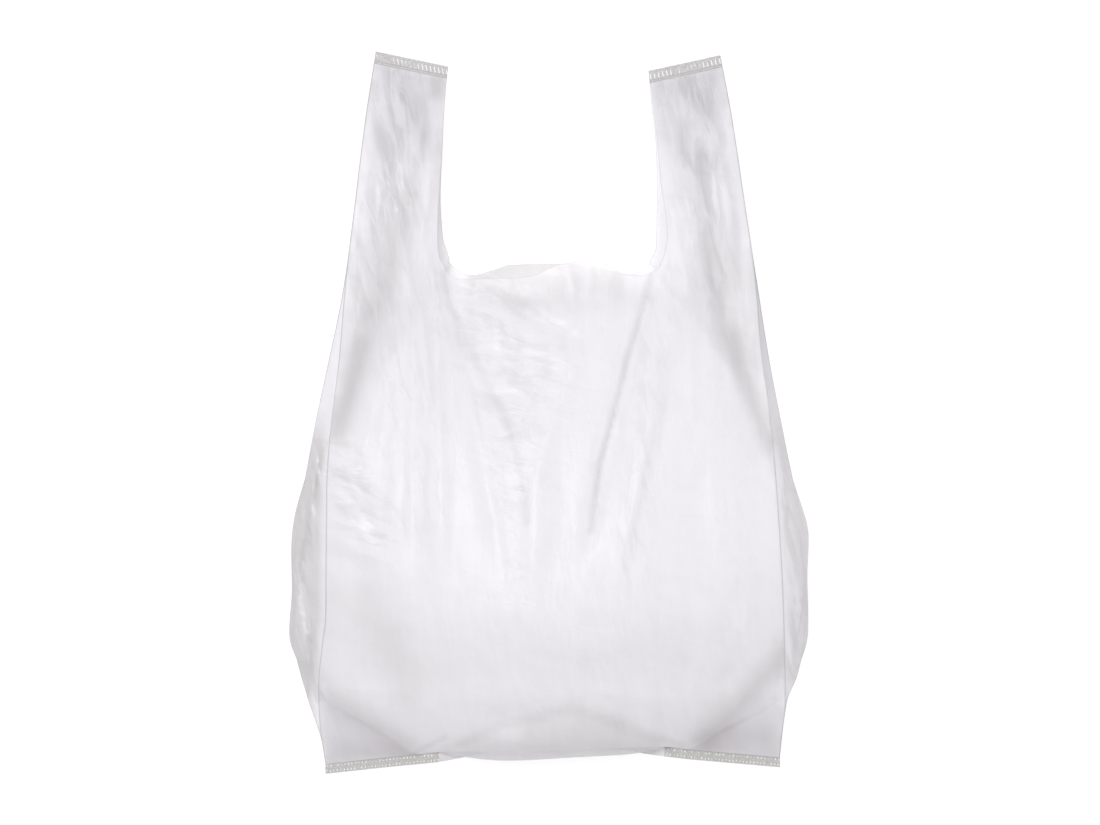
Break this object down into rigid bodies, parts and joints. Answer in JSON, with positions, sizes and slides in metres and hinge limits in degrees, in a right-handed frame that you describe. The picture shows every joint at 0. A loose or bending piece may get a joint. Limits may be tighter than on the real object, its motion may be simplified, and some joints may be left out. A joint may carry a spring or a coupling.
{
  "type": "plastic carrier bag",
  "caption": "Plain white translucent film carrier bag with two loop handles, a U-shaped mouth, side gussets and welded foot and handle tops, lying on its back and puffed up with air",
  "frame": {"origin": "middle of the bag's bounding box across and along, at the level of the surface that it lies on", "axes": "+Y from the welded foot to the handles, +X to the right as the picture shows the front, +Z out of the front panel, away from the surface that the bag lies on"},
  "size_m": [0.3442, 0.4788, 0.0848],
  "materials": {
    "white_film": "thin blown polyethylene film, white pigmented, translucent, crinkled, soft sheen"
  },
  "bodies": {
    "root": {"carrier_bag": "white_film"}
  },
  "joints": []
}
